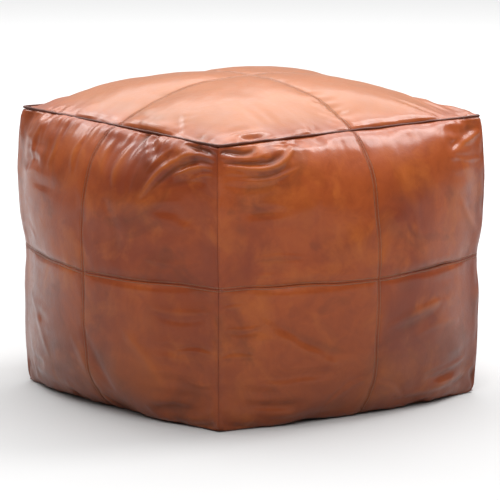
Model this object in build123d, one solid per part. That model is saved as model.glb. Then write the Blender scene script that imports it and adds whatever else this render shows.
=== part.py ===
"""A square leather pouf: a patchwork leather cover, zipped underneath, over a cotton liner full of stuffing.

The pouf stands on the floor at z = 0, centred on the origin, with +Z up. Its zip runs along X.
Every leather and cotton panel is a thin solid between two Bezier patches. The inner patch is the outer
one drawn in towards the pouf's centre, so that neighbouring panels meet along mitred edges.
"""

from build123d import *
import os

# ---- Driving dimensions, in millimetres ----

TOP_SQUARE = 420        # the top, from seam to seam
BASE_SQUARE = 412       # the base, between its corners on the floor
SEAM_HEIGHT = 362       # the top seam above the floor
CROWN = 37              # how far the middle of the top stands above its seam
SIDE_BULGE = 50         # how far the middle of each side stands out from the line between its corners
SIDE_PUFF = 5           # how far each side panel swells beyond its own seams
TOP_PUFF = 10           # how far each top panel swells above its own seams
CORNER_BOW = 3          # how far the corner seams bow outwards, halfway up
FLOOR_SHARE = 0.25      # the share of the side's bulge that is left where it meets the floor

LEATHER = 1.6
SEAM_GAP = 0.15         # clearance on each panel's own side of a seam
WELT_DIAMETER = 3.0
WELT_ROOM = 2.0         # how far the panels stop short of the top seam, to leave room for the welt
WELT_CORNER = 2.0       # radius of the welt's line round a corner

LINER = 0.7
LINER_CLEARANCE = 2.6   # between the leather and the cotton, which hangs a little slack
STUFFING_CLEARANCE = 0.3

ZIP_LENGTH = 300
ZIP_TAPE_THICKNESS = 0.6
ZIP_TAPE_EDGE = 13.0    # the tape's outer edge, from the middle of the zip
ZIP_TAPE_OVERRUN = 6.0  # how far the tape goes on past the last tooth
ZIP_PLANE = 8.9         # height of the middle of the tape above the floor
TOOTH_PITCH = 2.6
TOOTH_LENGTH = 1.5
TOOTH_WIDTH = 2.6
TOOTH_HEIGHT = 2.6
TOOTH_GAP = 1.2         # between the two rows of teeth, where the slider's web runs

VALLEY_DEPTH = 7.0      # how far the base is drawn up along the zip
VALLEY_OPENING = 5.0    # from the middle of the zip to the leather's edge
VALLEY_HALF_WIDTH = 30.0
VALLEY_STRAIGHT = 152.0 # half the length over which the valley keeps its full depth
VALLEY_END = 192.0      # half the valley's whole length
LINER_VALLEY_DEPTH = 14.0
LINER_VALLEY_HALF_WIDTH = 46.0

SLIDER_LENGTH = 11.0
SLIDER_FRONT_WIDTH = 8.6
SLIDER_REAR_WIDTH = 8.0
SLIDER_PLATE = 1.3
SLIDER_CLEARANCE = 0.35
SLIDER_FLANGE = 0.5
SLIDER_FLANGE_GAP = 1.5 # between the upper and lower flanges, where the tape passes
SLIDER_WEB = 0.5
SLIDER_REST_X = 142.0   # the slider's middle with the zip closed
SLIDER_TRAVEL = 284.0

BRIDGE_LENGTH = 8.0
BRIDGE_WIDTH = 2.2
BRIDGE_THICKNESS = 1.0
TAB_PIN_DIAMETER = 1.4
TAB_THICKNESS = 1.2
TAB_WIDTH = 7.0
TAB_LENGTH = 25.0
TAB_EYE_REACH = 5.6     # from the pin to the far edge of the tab's eye
TAB_HANG = 9.0          # degrees that the tab hangs below level at rest

STOP_LENGTH = 2.0
STOP_HEIGHT = 3.2

# ---- Derived sizes ----

DEGREE = 4
CENTRE = Vector(0, 0, SEAM_HEIGHT / 2)
REACH = TOP_SQUARE / 2                      # from the centre out to a panel, for turning thickness into scale
LEATHER_SCALE = 1 - LEATHER / REACH
LINER_OUTER_SCALE = LEATHER_SCALE - LINER_CLEARANCE / REACH
LINER_INNER_SCALE = LINER_OUTER_SCALE - LINER / REACH
STUFFING_SCALE = LINER_INNER_SCALE - STUFFING_CLEARANCE / REACH

TOOTH_INNER = TOOTH_GAP / 2
TOOTH_OUTER = TOOTH_INNER + TOOTH_WIDTH
PLATE_INNER = TOOTH_HEIGHT / 2 + SLIDER_CLEARANCE
PLATE_OUTER = PLATE_INNER + SLIDER_PLATE
PLATE_BOTTOM_Z = ZIP_PLANE - PLATE_OUTER
PIN_Z = PLATE_BOTTOM_Z - SLIDER_CLEARANCE - TAB_PIN_DIAMETER / 2
BRIDGE_TOP_Z = PIN_Z - TAB_PIN_DIAMETER / 2 - SLIDER_CLEARANCE
BRIDGE_BOTTOM_Z = BRIDGE_TOP_Z - BRIDGE_THICKNESS

SIDES = ["front", "right", "back", "left"]  # each a quarter turn on from the last

# ---- Bezier coefficients, all of one degree, for values that run from 0 to 1 along a patch ----

STEPS = [i / DEGREE for i in range(DEGREE + 1)]
LEVEL = [1.0] * (DEGREE + 1)
ARCH = [1, 1, 5 / 6, 1 / 2, 0]              # 1 - t**2
SHOULDER = [1, 1, 1, 3 / 4, 0]              # 1 - t**3
PLUMP = [1, 1, 1, 1, 0]                     # 1 - t**4
PLUMP_TO_FLOOR = [1, 1, 1, 1, FLOOR_SHARE]
PUFF = [0, 1, 4 / 3, 1, 0]                  # 4 * t * (1 - t)
FADE = [1, 1, 0.5, 0, 0]                    # a smooth fall from 1 to 0


def blend(start, end):
    """Coefficients of a straight run from start to end."""
    return [start + (end - start) * t for t in STEPS]


def net(place):
    """A patch's control points, where place(i, j) gives the one in row i and column j."""
    columns = range(DEGREE + 1)
    return [[Vector(*place(i, j)) for j in columns] for i in columns]


def drawn_in(rows, factor, centre=CENTRE):
    """The same control points, scaled about a centre."""
    return [[centre + (point - centre) * factor for point in row] for row in rows]


def turned(rows, quarter_turns):
    return [[point.rotate(Axis.Z, 90 * quarter_turns) for point in row] for row in rows]


def mirrored(rows, x=1, y=1):
    return [[Vector(x * point.X, y * point.Y, point.Z) for point in row] for row in rows]


def borders(rows):
    """The control points of a patch's four edges."""
    first_column = [row[0] for row in rows]
    last_column = [row[-1] for row in rows]
    return [rows[0], rows[-1], first_column, last_column]


def ruled(edge_points, factor):
    """The mitred rim between an edge and the same edge drawn in."""
    return Face.make_bezier_surface([edge_points, drawn_in([edge_points], factor)[0]])


def flat(loops):
    """A flat face inside the first loop of edges and outside the others."""
    wires = [Wire([Edge.make_bezier(*points) for points in loop]) for loop in loops]
    return Face(wires[0], wires[1:])


def closed(faces):
    return Solid(Shell(faces))


def skin(patches, rims, outer, inner, flats=()):
    """A thin solid between patches at one scale and the same patches at another."""
    faces = []
    for factor in (outer, inner):
        faces += [Face.make_bezier_surface(drawn_in(rows, factor)) for rows in patches]
        faces += [flat([drawn_in(loop, factor) for loop in loops]) for loops in flats]
    for edge_points in rims:
        faces.append(ruled(drawn_in([edge_points], outer)[0], inner / outer))
    return closed(faces)


# ---- The pouf's outer form ----


def side_patch(upper, column, puff, room):
    """One quarter of the front side, from its middle seam out to a corner; column is -1 left or 1 right."""
    middle = (TOP_SQUARE + BASE_SQUARE) / 4 + CORNER_BOW
    middle_z = SEAM_HEIGHT / 2
    far_half = (TOP_SQUARE if upper else BASE_SQUARE) / 2
    far_z = SEAM_HEIGHT - room if upper else 0
    half = blend(middle, far_half)
    height = blend(middle_z, far_z)
    profile = PLUMP if upper else PLUMP_TO_FLOOR

    def place(i, j):
        out = half[i] + SIDE_BULGE * profile[i] * ARCH[j] + puff * PUFF[i] * PUFF[j]
        return column * half[i] * STEPS[j], -out, height[i]

    return net(place)


def top_patch(x_side, y_side, puff, room):
    """One quarter of the top, from its middle out to a corner."""
    half = TOP_SQUARE / 2 - room

    def place(i, j):
        z = SEAM_HEIGHT + CROWN * SHOULDER[i] * SHOULDER[j] + puff * PUFF[i] * PUFF[j]
        return x_side * half * STEPS[i], y_side * half * STEPS[j], z

    return net(place)


def valley_patches(y_side, opening, half_width, depth):
    """The valley along the zip, on one side of it: its straight middle and a fading end each way."""

    def middle(i, j):
        y = blend(opening, half_width)[j]
        return blend(-VALLEY_STRAIGHT, VALLEY_STRAIGHT)[i], y_side * y, depth * FADE[j]

    def end(i, j):
        y = blend(opening * FADE[i], half_width)[j]
        return blend(VALLEY_STRAIGHT, VALLEY_END)[i], y_side * y, depth * FADE[i] * FADE[j]

    right = net(end)
    return [mirrored(right, x=-1), net(middle), right]


def straight(start, end):
    """Control points of a straight edge."""
    start, end = Vector(*start), Vector(*end)
    return [start + (end - start) * t for t in STEPS]


def outline(quarter_turns, column):
    """Half of the base's outline under one side."""
    return turned(side_patch(False, column, 0, 0), quarter_turns)[-1]


# ---- Leather cover ----


def leather_panel(patches, rims, flats=(), middle=None):
    """A leather panel, made a hair smaller about its own middle so that it is clear of its neighbours."""
    middle = middle or patches[0][DEGREE // 2][DEGREE // 2]
    factor = 1 - SEAM_GAP / (TOP_SQUARE / 4)
    patches = [drawn_in(rows, factor, middle) for rows in patches]
    rims = drawn_in(rims, factor, middle)
    flats = [[drawn_in(loop, factor, middle) for loop in loops] for loops in flats]
    return skin(patches, rims, 1, LEATHER_SCALE, flats)


def side_panels():
    panels = {}
    for turn, side in enumerate(SIDES):
        for upper in (True, False):
            for column, hand in ((-1, "left"), (1, "right")):
                room = WELT_ROOM if upper else 0
                patch = turned(side_patch(upper, column, SIDE_PUFF, room), turn)
                name = f"{side}_panel_{'upper' if upper else 'lower'}_{hand}"
                panels[name] = leather_panel([patch], borders(patch))
    return panels


def top_panels():
    panels = {}
    for y_side, depth in ((-1, "front"), (1, "back")):
        for x_side, hand in ((-1, "left"), (1, "right")):
            patch = top_patch(x_side, y_side, TOP_PUFF, WELT_ROOM)
            panels[f"top_panel_{depth}_{hand}"] = leather_panel([patch], borders(patch))
    return panels


def base_panel(y_side):
    """Half of the base: flat on the floor, and drawn up along the zip."""
    valley = valley_patches(y_side, VALLEY_OPENING, VALLEY_HALF_WIDTH, VALLEY_DEPTH)
    opening_edges = [[row[0] for row in rows] for rows in valley]
    foot_edges = [[row[-1] for row in rows] for rows in valley]
    end_edges = [valley[0][-1], valley[2][-1]]
    front, right, left = (0, 1, 3) if y_side < 0 else (2, 1, 3)
    halves = [outline(front, -1), outline(front, 1)]
    halves += [outline(right, -1 if y_side < 0 else 1), outline(left, 1 if y_side < 0 else -1)]
    side_middle = BASE_SQUARE / 2 + SIDE_BULGE * FLOOR_SHARE
    seams = [straight((x * side_middle, 0, 0), (x * VALLEY_END, 0, 0)) for x in (-1, 1)]
    flats = [[halves + seams + end_edges + foot_edges]]
    middle = Vector(0, y_side * BASE_SQUARE / 4, 0)
    return leather_panel(valley, halves + seams + opening_edges, flats, middle)


def top_welt():
    """A leather cord sewn into the top seam all the way round."""
    half = TOP_SQUARE / 2
    corners = [(half, -half), (half, half), (-half, half), (-half, -half)]
    line = FilletPolyline(*corners, radius=WELT_CORNER, close=True)
    path = Pos(0, 0, SEAM_HEIGHT) * line
    section = Plane(path @ 0, z_dir=path % 0) * Circle(WELT_DIAMETER / 2)
    return sweep(section, path=path)


# ---- Liner and stuffing ----


def envelope():
    """The liner's patches at full scale, before they are drawn in: sides, top, and the valley in its base."""
    sides = []
    for turn in range(len(SIDES)):
        for upper in (True, False):
            sides += [turned(side_patch(upper, column, 0, 0), turn) for column in (-1, 1)]
    top = [top_patch(x, y, 0, 0) for x in (-1, 1) for y in (-1, 1)]
    valley = []
    for y_side in (-1, 1):
        valley += valley_patches(y_side, 0, LINER_VALLEY_HALF_WIDTH, LINER_VALLEY_DEPTH)
    return sides, top, valley


def base_loops(valley):
    """The flat part of the liner's base: inside its outline, outside the valley."""
    edge = [outline(turn, column) for turn in range(len(SIDES)) for column in (-1, 1)]
    hole = [[row[-1] for row in rows] for rows in valley]
    hole += [rows[-1] for index, rows in enumerate(valley) if index % 3 != 1]
    return [edge, hole]


def liner_panels():
    sides, top, valley = envelope()
    shrink = 1 - SEAM_GAP / REACH
    top_edges = [rows[-1] for index, rows in enumerate(sides) if index % 4 < 2]
    bottom_edges = [rows[-1] for index, rows in enumerate(sides) if index % 4 >= 2]
    loops = base_loops(valley)

    def panel(patches, rims, middle, flats=()):
        patches = [drawn_in(rows, shrink, middle) for rows in patches]
        rims = drawn_in(rims, shrink, middle)
        flats = [[drawn_in(loop, shrink, middle) for loop in loops] for loops in flats]
        return skin(patches, rims, LINER_OUTER_SCALE, LINER_INNER_SCALE, flats)

    return {
        "liner_top": panel(top, top_edges, Vector(0, 0, SEAM_HEIGHT + CROWN)),
        "liner_wall": panel(sides, top_edges + bottom_edges, CENTRE),
        "liner_base": panel(valley, loops[0], Vector(0, 0, 0), [loops]),
    }


def stuffing():
    sides, top, valley = envelope()
    faces = [Face.make_bezier_surface(drawn_in(rows, STUFFING_SCALE)) for rows in sides + top + valley]
    faces.append(flat([drawn_in(loop, STUFFING_SCALE) for loop in base_loops(valley)]))
    return closed(faces)


# ---- Zip ----


def block(x, y, z):
    """A box between the low and high values given for each axis."""
    size = (x[1] - x[0], y[1] - y[0], z[1] - z[0])
    return Pos(sum(x) / 2, sum(y) / 2, sum(z) / 2) * Box(*size)


def across(y_side, near, far):
    """A span of y on one side of the zip, low value first."""
    return tuple(sorted((y_side * near, y_side * far)))


def zip_tape(y_side):
    half_length = ZIP_LENGTH / 2 + ZIP_TAPE_OVERRUN
    half_thickness = ZIP_TAPE_THICKNESS / 2
    y = across(y_side, TOOTH_OUTER, ZIP_TAPE_EDGE)
    return block((-half_length, half_length), y, (ZIP_PLANE - half_thickness, ZIP_PLANE + half_thickness))


def zip_teeth(y_side):
    """One row of teeth, half a pitch on from the other row."""
    count = int(ZIP_LENGTH / TOOTH_PITCH) - 1
    start = -count * TOOTH_PITCH / 2 + y_side * TOOTH_PITCH / 4
    z = (ZIP_PLANE - TOOTH_HEIGHT / 2, ZIP_PLANE + TOOTH_HEIGHT / 2)
    y = across(y_side, TOOTH_INNER, TOOTH_OUTER)
    teeth = []
    for index in range(count):
        x = start + index * TOOTH_PITCH
        tooth = block((x, x + TOOTH_LENGTH), y, z)
        teeth.append(chamfer(tooth.edges().filter_by(Axis.Y), TOOTH_LENGTH / 5))
    return Compound(children=teeth)


def zip_stop(x, y):
    z = (ZIP_PLANE - STOP_HEIGHT / 2, ZIP_PLANE + STOP_HEIGHT / 2)
    return block((x, x + STOP_LENGTH), y, z)


def zip_top_stops():
    """Two crimped stops, one on each tape, where the closed slider comes to rest."""
    stops = [zip_stop(ZIP_LENGTH / 2, across(side, TOOTH_INNER, TOOTH_OUTER)) for side in (-1, 1)]
    return Compound(children=stops)


def zip_bottom_stop():
    """One stop across both tapes, where the open slider comes to rest."""
    return zip_stop(-ZIP_LENGTH / 2 - STOP_LENGTH, (-TOOTH_OUTER, TOOTH_OUTER))


def slider_plate(low, high):
    """A slider plate, a little narrower at its rear end, which is the end towards -X."""
    half = SLIDER_LENGTH / 2
    front, rear = SLIDER_FRONT_WIDTH / 2, SLIDER_REAR_WIDTH / 2
    shape = make_face(Polyline((-half, -rear), (half, -front), (half, front), (-half, rear), close=True))
    plate = Pos(0, 0, low) * extrude(shape, high - low)
    return fillet(plate.edges().filter_by(Axis.Z), 1.2)


def zip_slider():
    """Two plates joined by a thin web, with a bridge under the lower plate that carries the pull tab."""
    half = SLIDER_LENGTH / 2
    lower = slider_plate(ZIP_PLANE - PLATE_OUTER, ZIP_PLANE - PLATE_INNER)
    upper = slider_plate(ZIP_PLANE + PLATE_INNER, ZIP_PLANE + PLATE_OUTER)
    web_half = SLIDER_WEB / 2
    web_z = (ZIP_PLANE - PLATE_INNER, ZIP_PLANE + PLATE_INNER)
    web = block((half / 4, half - 1), (-web_half, web_half), web_z)
    body = lower + upper + web
    flange_x = half - 1.5
    outside = SLIDER_REAR_WIDTH / 2
    for side in (-1, 1):
        y = across(side, outside - SLIDER_FLANGE, outside)
        low_flange = (ZIP_PLANE - PLATE_INNER, ZIP_PLANE - SLIDER_FLANGE_GAP / 2)
        high_flange = (ZIP_PLANE + SLIDER_FLANGE_GAP / 2, ZIP_PLANE + PLATE_INNER)
        body += block((-flange_x, flange_x), y, low_flange)
        body += block((-flange_x, flange_x), y, high_flange)
    bridge_half = BRIDGE_LENGTH / 2
    bridge_y = (-BRIDGE_WIDTH / 2, BRIDGE_WIDTH / 2)
    bar = block((-bridge_half, bridge_half), bridge_y, (BRIDGE_BOTTOM_Z, PLATE_BOTTOM_Z))
    hole_half = bridge_half - BRIDGE_THICKNESS
    bar -= block((-hole_half, hole_half), bridge_y, (BRIDGE_TOP_Z, PLATE_BOTTOM_Z))
    return Pos(SLIDER_REST_X, 0, 0) * (body + bar)


def zip_pull_tab():
    """A pull tab that hangs from the bridge by the pin across its eye, lying back along the zip."""
    arm_inner = BRIDGE_WIDTH / 2 + SLIDER_CLEARANCE
    half_width = TAB_WIDTH / 2
    half_thickness = TAB_THICKNESS / 2
    outline_face = make_face(
        Polyline(
            (0, -half_width + 0.6),
            (-TAB_LENGTH + 2, -half_width),
            (-TAB_LENGTH, -half_width + 2),
            (-TAB_LENGTH, half_width - 2),
            (-TAB_LENGTH + 2, half_width),
            (0, half_width - 0.6),
            close=True,
        )
    )
    plate = Pos(0, 0, -half_thickness) * extrude(outline_face, TAB_THICKNESS)
    eye_z = (-TAB_THICKNESS, TAB_THICKNESS)
    plate -= block((-TAB_EYE_REACH, TAB_THICKNESS), (-arm_inner, arm_inner), eye_z)
    pin = Rot(X=90) * Cylinder(TAB_PIN_DIAMETER / 2, TAB_WIDTH - 1.2)
    tab = plate + pin
    return Pos(SLIDER_REST_X, 0, PIN_Z) * Rot(Y=-TAB_HANG) * tab


def zip_parts():
    return {
        "zip_tape_front": zip_tape(-1),
        "zip_tape_back": zip_tape(1),
        "zip_teeth_front": zip_teeth(-1),
        "zip_teeth_back": zip_teeth(1),
        "zip_top_stops": zip_top_stops(),
        "zip_bottom_stop": zip_bottom_stop(),
        "zip_slider": zip_slider(),
        "zip_pull_tab": zip_pull_tab(),
    }


# ---- Write every node ----

nodes = {}
nodes.update(top_panels())
nodes.update(side_panels())
nodes["base_panel_front"] = base_panel(-1)
nodes["base_panel_back"] = base_panel(1)
nodes["top_welt"] = top_welt()
nodes.update(liner_panels())
nodes["stuffing"] = stuffing()
nodes.update(zip_parts())

os.makedirs("parts", exist_ok=True)
for name, shape in nodes.items():
    export_step(shape, f"parts/{name}.step")
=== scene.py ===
"""The looks of a square patchwork leather pouf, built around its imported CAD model.

The cover is one closed cloth, simulated under pressure with its top seam and base held. The result is cut
into its leather panels, and each panel gets its seams, topstitching, creases and grain.
"""

import math

import bpy
import numpy as np
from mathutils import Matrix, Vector


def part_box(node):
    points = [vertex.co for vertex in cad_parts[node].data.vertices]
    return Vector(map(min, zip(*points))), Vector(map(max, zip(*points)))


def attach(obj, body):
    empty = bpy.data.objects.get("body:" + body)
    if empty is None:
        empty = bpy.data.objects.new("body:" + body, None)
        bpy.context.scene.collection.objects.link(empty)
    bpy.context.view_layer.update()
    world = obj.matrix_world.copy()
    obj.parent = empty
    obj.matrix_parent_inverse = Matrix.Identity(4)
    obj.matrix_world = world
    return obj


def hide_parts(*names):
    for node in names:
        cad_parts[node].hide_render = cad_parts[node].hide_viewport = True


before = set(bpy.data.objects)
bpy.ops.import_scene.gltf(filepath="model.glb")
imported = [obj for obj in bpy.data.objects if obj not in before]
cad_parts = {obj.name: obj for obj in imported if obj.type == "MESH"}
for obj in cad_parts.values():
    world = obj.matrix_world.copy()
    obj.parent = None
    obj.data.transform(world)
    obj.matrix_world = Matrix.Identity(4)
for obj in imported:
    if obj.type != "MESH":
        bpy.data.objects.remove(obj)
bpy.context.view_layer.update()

MM = 0.001
POUF = "pouf"

# ---- The pouf's form, in metres, from the frame ----

welt_low, welt_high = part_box("top_welt")
WELT_RADIUS = (welt_high.z - welt_low.z) / 2
SEAM_Z = (welt_high.z + welt_low.z) / 2
TOP_HALF = welt_high.x - WELT_RADIUS
BASE_HALF = 0.206
FLOOR_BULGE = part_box("base_panel_front")[1].x - BASE_HALF
SIDE_BULGE = 0.057
CROWN = 0.037
LEATHER = 1.6 * MM

# ---- The simulated cover ----

HALF_CELLS = 24         # cells across one panel
ROW_CELLS = 20          # cells up one panel of a side
CUT_HEIGHT = 0.385      # a side's height as it is cut, before its seams are drawn in
CUT_FLARE = 0.002       # how much wider than the top seam a side is cut, each way
CUT_BULGE = 0.040
CUT_CROWN = 1.2         # the top's crown as it is cut, as a share of the finished one
CUT_RIPPLE = 0.0010     # how uneven the cut leather is, so that its folds aren't symmetric
CUT_RIPPLE_LENGTH = 0.08
SIDE_SEAM_PULL = 0.12   # how strongly the side seams draw in, from 0 to 1
TOP_SEAM_PULL = 0.45
DRAW_FRAMES = 8
SIM_FRAMES = 34
CORNER_BOW = 0.008      # how far the corners bow outwards between their seams
LOWER_BOW = 0.6         # the lower panels' bow, as a share of the upper ones'
MIDDLE_BOW = 0.35       # and what is left of it at the seam between them
CORNER_SET = [0.85, 0.75, 0.5, 0.28, 0.12]  # how far each column from a corner is set to the sewn shape
CORNER_HOLD = [0.6, 0.36, 0.18]     # how strongly each column from a corner is held during the simulation
CORNER_SMOOTHING = 12   # passes that smooth the side's folds near its corners
CORNER_REACH = 7        # columns from a corner that they reach
PRESSURE = 70.0

SIDES = ["front", "right", "back", "left"]  # each a quarter turn on from the last


def profile(v):
    """The share of a side's bulge at height v, from 0 at the floor to 1 at the top seam."""
    t = 2 * v - 1
    floor_share = FLOOR_BULGE / SIDE_BULGE
    return np.where(t > 0, 1 - t**4, 1 - (1 - floor_share) * t**4)


def ring_points(u, v, bulge, height, flare, bow=0.0):
    """Points of the front side at u from -1 to 1 across and v from 0 to 1 up."""
    half = BASE_HALF + (TOP_HALF - BASE_HALF) * v + flare * (1 - (2 * v - 1) ** 4)
    lobes = np.sqrt(np.abs(np.sin(2 * math.pi * v))) * np.where(v > 0.5, 1, LOWER_BOW)
    lobes = np.maximum(lobes, MIDDLE_BOW * np.exp(-(((v - 0.5) / 0.1) ** 2)))
    half = half + bow * lobes * np.abs(u) ** 3
    out = half + bulge * profile(v) * (1 - u**2)
    return np.stack([half * u, -out, height * v], axis=-1)


def turned(points, quarter_turns):
    """Points turned about Z, each quarter turn from front to right to back to left."""
    angle = quarter_turns * math.pi / 2
    c, s = round(math.cos(angle)), round(math.sin(angle))
    x, y, z = points[..., 0], points[..., 1], points[..., 2]
    return np.stack([c * x - s * y, s * x + c * y, z], axis=-1)


def ripples(points, wavelength, seed, waves=14):
    """Smooth noise of about unit height, made of plane waves in random directions."""
    rng = np.random.default_rng(seed)
    directions = rng.normal(size=(waves, 3))
    directions /= np.linalg.norm(directions, axis=1, keepdims=True)
    lengths = wavelength * rng.uniform(0.7, 1.6, waves)
    phases = rng.uniform(0, 2 * math.pi, waves)
    angle = points @ (directions * (2 * math.pi / lengths)[:, None]).T + phases
    return np.cos(angle).sum(axis=-1) * math.sqrt(2 / waves)


def cover_grid():
    """Vertex numbers of the closed cover: a ring of sides, a top and a base, which share their edges."""
    across = 2 * HALF_CELLS
    rows = 2 * ROW_CELLS
    ring = np.arange((rows + 1) * 4 * across).reshape(rows + 1, 4 * across)
    total = ring.size

    def cap(row):
        nonlocal total
        grid = np.full((across + 1, across + 1), -1)
        edge = ring[row]
        grid[0, :] = edge[: across + 1]                          # front, left to right
        grid[:, across] = edge[across : 2 * across + 1]          # right, front to back
        grid[across, ::-1] = edge[2 * across : 3 * across + 1]   # back, right to left
        grid[::-1, 0] = np.append(edge[3 * across :], edge[0])   # left, back to front
        inner = (across - 1) ** 2
        grid[1:-1, 1:-1] = np.arange(total, total + inner).reshape(across - 1, across - 1)
        total += inner
        return grid

    top = cap(rows)
    base = cap(0)
    return ring, top, base, total


def cover_points(ring, top, base, total, bulge, height, crown, flare, bow=0.0):
    points = np.zeros((total, 3))
    across = 2 * HALF_CELLS
    u = np.linspace(-1, 1, across + 1)[:-1]
    v = np.linspace(0, 1, 2 * ROW_CELLS + 1)
    uu, vv = np.meshgrid(u, v)
    for side in range(4):
        columns = slice(side * across, (side + 1) * across)
        points[ring[:, columns]] = turned(ring_points(uu, vv, bulge, height, flare, bow), side)
    s = np.linspace(-1, 1, across + 1)
    xx, yy = np.meshgrid(s, s)
    dome = (1 - np.abs(xx) ** 4) * (1 - np.abs(yy) ** 4)
    inner = (slice(1, -1), slice(1, -1))
    lid = np.stack([TOP_HALF * xx, TOP_HALF * yy, height + crown * dome], axis=-1)
    points[top[inner]] = lid[inner]
    x_out = xx * (BASE_HALF + FLOOR_BULGE * (1 - yy**2))
    y_out = yy * (BASE_HALF + FLOOR_BULGE * (1 - xx**2))
    floor = np.stack([x_out, y_out, np.zeros_like(xx)], axis=-1)
    points[base[inner]] = floor[inner]
    return points


def quads(grid, flip=False):
    a, b, c, d = grid[:-1, :-1], grid[:-1, 1:], grid[1:, 1:], grid[1:, :-1]
    order = (d, c, b, a) if flip else (a, b, c, d)
    return np.stack([corner.ravel() for corner in order], axis=1)


def mesh_object(name, points, faces):
    """An object from a mesh of faces with equal numbers of corners."""
    mesh = bpy.data.meshes.new(name)
    mesh.vertices.add(len(points))
    mesh.vertices.foreach_set("co", np.asarray(points, dtype=np.float32).ravel())
    mesh.loops.add(faces.size)
    mesh.loops.foreach_set("vertex_index", np.asarray(faces, dtype=np.int32).ravel())
    mesh.polygons.add(len(faces))
    mesh.polygons.foreach_set("loop_start", np.arange(0, faces.size, faces.shape[1], dtype=np.int32))
    mesh.update(calc_edges=True)
    mesh.shade_smooth()
    piece = bpy.data.objects.new(name, mesh)
    bpy.context.scene.collection.objects.link(piece)
    return piece


def cover_faces(ring, top, base):
    closed_ring = np.column_stack([ring, ring[:, 0]])
    return np.vstack([quads(closed_ring), quads(top), quads(base, flip=True)])


def simulate(ring, top, base, total):
    """The cover's points, once its seams are drawn to their places and it has filled out under pressure."""
    sewn = cover_points(ring, top, base, total, SIDE_BULGE, SEAM_Z, CROWN, 0.0, CORNER_BOW)
    cut_crown = CROWN * CUT_CROWN
    cut = cover_points(ring, top, base, total, CUT_BULGE, CUT_HEIGHT, cut_crown, CUT_FLARE, CORNER_BOW)
    cut += CUT_RIPPLE * np.stack([ripples(cut, CUT_RIPPLE_LENGTH, 50 + axis) for axis in range(3)], axis=1)
    cover = mesh_object("cover_sim", cut, cover_faces(ring, top, base))
    cover.shape_key_add(name="cut")
    drawn = cover.shape_key_add(name="sewn")
    drawn.data.foreach_set("co", sewn.astype(np.float32).ravel())
    for frame_number, share in ((1, 0.0), (DRAW_FRAMES, 1.0)):
        drawn.value = share
        drawn.keyframe_insert("value", frame=frame_number)

    held = cover.vertex_groups.new(name="held")
    held.add([int(i) for i in np.unique(np.concatenate([ring[-1], base.ravel()]))], 1.0, "REPLACE")
    across = 2 * HALF_CELLS
    corners = across * np.arange(4)
    for reach, hold in enumerate(CORNER_HOLD):
        columns = np.unique(np.concatenate([corners - reach, corners + reach]) % (4 * across))
        held.add([int(i) for i in ring[1:-1, columns].ravel()], hold, "REPLACE")
    seams = cover.vertex_groups.new(name="seams")
    seam_rows = ring[ROW_CELLS]
    seam_columns = ring[1:-1, HALF_CELLS::across].ravel()
    seam_top = np.concatenate([top[HALF_CELLS], top[:, HALF_CELLS]])
    seam_sides = np.concatenate([seam_rows, seam_columns])
    seams.add([int(i) for i in np.unique(seam_sides)], SIDE_SEAM_PULL, "REPLACE")
    seams.add([int(i) for i in np.unique(seam_top)], TOP_SEAM_PULL, "REPLACE")

    cloth = cover.modifiers.new("cloth", "CLOTH")
    s = cloth.settings
    s.quality = 5
    s.mass = 0.004
    s.air_damping = 2.0
    s.bending_model = "ANGULAR"
    s.tension_stiffness = 60
    s.compression_stiffness = 30
    s.shear_stiffness = 10
    s.bending_stiffness = 0.3
    s.tension_damping = 10
    s.compression_damping = 10
    s.shear_damping = 10
    s.bending_damping = 0.5
    s.use_pressure = True
    s.uniform_pressure_force = PRESSURE
    s.vertex_group_mass = "held"
    s.pin_stiffness = 1.0
    s.vertex_group_shrink = "seams"
    s.shrink_min = 0.0
    s.shrink_max = 0.08
    s.effector_weights.gravity = 0.0
    cloth.collision_settings.use_collision = False
    cloth.point_cache.frame_start = 1
    cloth.point_cache.frame_end = SIM_FRAMES
    for step in range(1, SIM_FRAMES + 1):
        bpy.context.scene.frame_set(step)
    filled = cover.evaluated_get(bpy.context.evaluated_depsgraph_get())
    points = np.zeros(total * 3, dtype=np.float32)
    filled.data.vertices.foreach_get("co", points)
    points = points.reshape(-1, 3).astype(float)
    bpy.context.scene.frame_set(1)
    bpy.data.objects.remove(cover, do_unlink=True)
    strain = points[ring] - sewn[ring]
    smooth = strain.copy()
    for _ in range(CORNER_SMOOTHING):
        smooth[1:-1] = (smooth[:-2] + 2 * smooth[1:-1] + smooth[2:]) / 4
    from_corner = np.abs((np.arange(4 * across) + across // 2) % across - across // 2)
    share = np.clip(1.4 - from_corner / CORNER_REACH, 0, 1)[None, :, None]
    points[ring] = sewn[ring] + strain + share * (smooth - strain)
    for reach, share in enumerate(CORNER_SET):
        for shift in {-reach, reach}:
            columns = ring[:, (np.arange(4) * across + shift) % (4 * across)].ravel()
            points[columns] += share * (sewn[columns] - points[columns])
    return points


def vertex_normals(points, faces):
    a, b, c, d = (points[faces[:, k]] for k in range(4))
    face_normals = np.cross(c - a, d - b)
    normals = np.zeros_like(points)
    for k in range(4):
        np.add.at(normals, faces[:, k], face_normals)
    return normals / np.linalg.norm(normals, axis=1, keepdims=True)


# ---- Creases ----

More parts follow.
